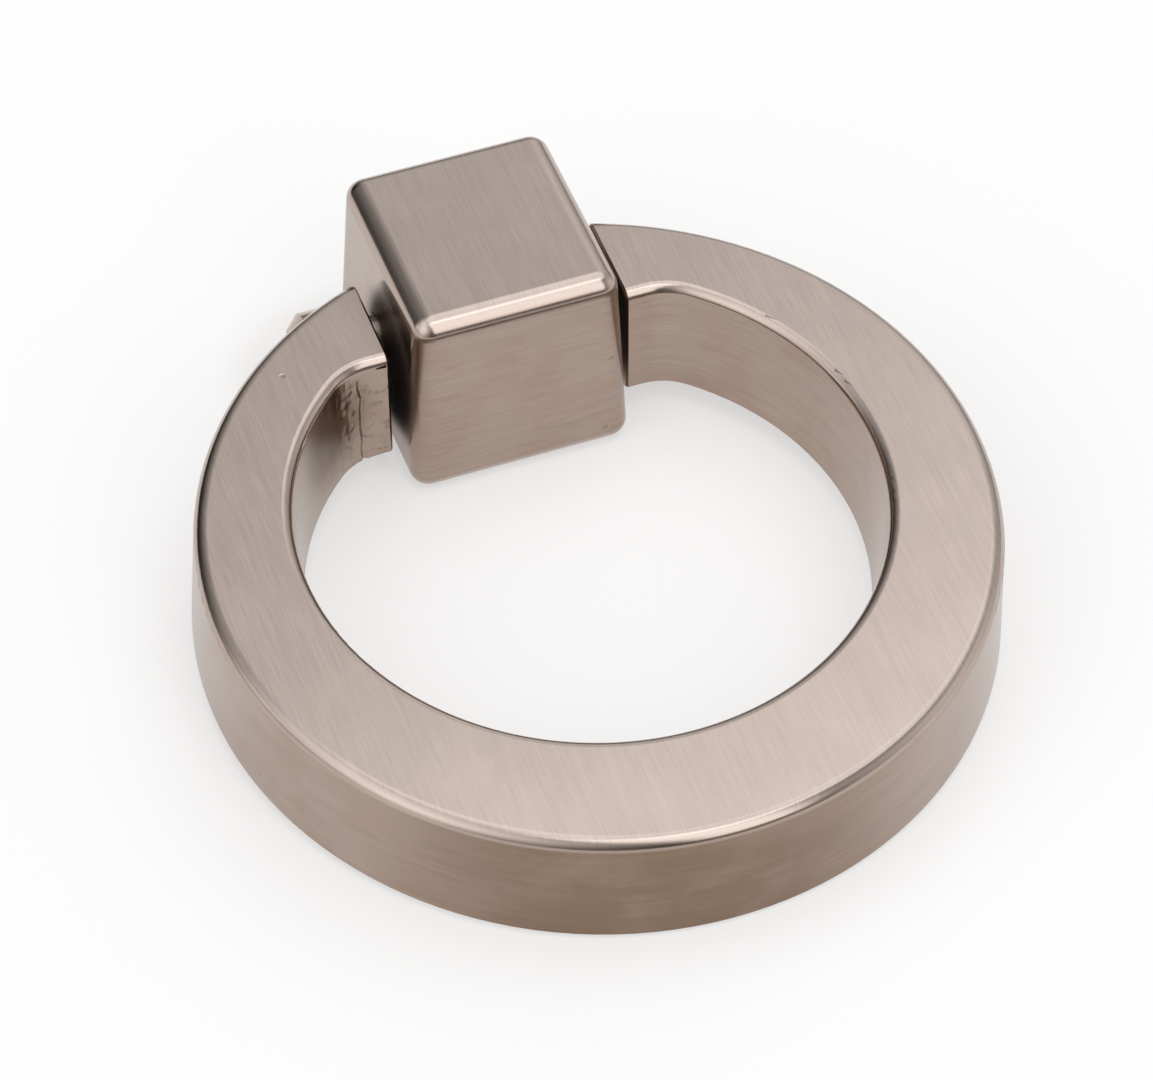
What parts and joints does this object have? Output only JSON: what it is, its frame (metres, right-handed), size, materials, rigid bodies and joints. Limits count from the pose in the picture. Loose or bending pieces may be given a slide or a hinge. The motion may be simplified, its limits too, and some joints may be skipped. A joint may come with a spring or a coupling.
{
  "type": "ring pull handle",
  "caption": "Ring pull for a drawer or door: a flat open ring of satin nickel that swings on a headed pin through a square block, screwed on from behind.",
  "frame": {"origin": "mouth of the mounting hole, at the middle of the block's back face, in the plane of the drawer front", "axes": "+Z away from the drawer front, X along the hinge pin, +Y from the ring's free end towards the block"},
  "size_m": [0.0508, 0.0547, 0.0144],
  "materials": {
    "block_nickel": "satin nickel, brushed",
    "ring_nickel": "satin nickel, brushed",
    "pin_nickel": "satin nickel"
  },
  "bodies": {
    "block": {"post_block": "block_nickel"},
    "pull": {"ring": "ring_nickel", "hinge_pin": "pin_nickel"}
  },
  "joints": [
    {"name": "ring_swing", "type": "hinge", "parent": "block", "child": "pull", "pos_m": [0, 0, 0.007], "axis": [-1, 0, 0], "range_deg": [0, 186]}
  ]
}
